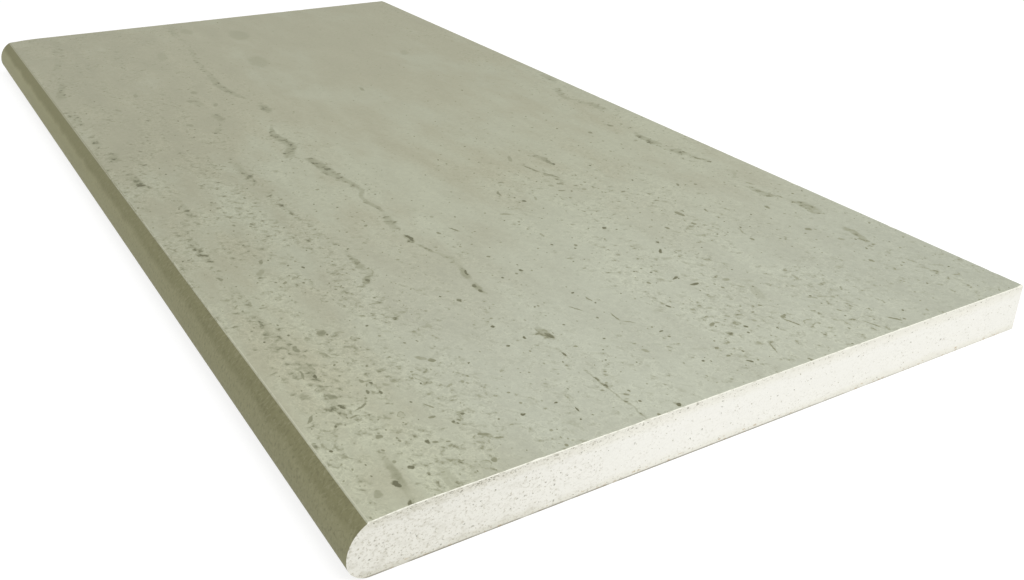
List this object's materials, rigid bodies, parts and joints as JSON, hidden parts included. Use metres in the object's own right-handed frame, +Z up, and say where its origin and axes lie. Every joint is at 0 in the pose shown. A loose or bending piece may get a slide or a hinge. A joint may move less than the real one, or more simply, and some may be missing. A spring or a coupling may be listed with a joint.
{
  "type": "porcelain edge tile",
  "caption": "Flat rectangular porcelain paving slab with one long edge rounded to a nose, a keyed back, and a matt travertine-look face.",
  "frame": {"origin": "centre of the outline, on the bedding face", "axes": "+X along the length, parallel to the nose; +Y from the nose to the back edge, so the nose looks along -Y; +Z up out of the walking face"},
  "size_m": [0.6, 0.295, 0.02],
  "materials": {
    "porcelain": "matt printed stone look on the walking face, darker stain on the nose, bare near-white body on the sawn edges and the back"
  },
  "bodies": {
    "root": {"edge_tile": "porcelain"}
  },
  "joints": []
}
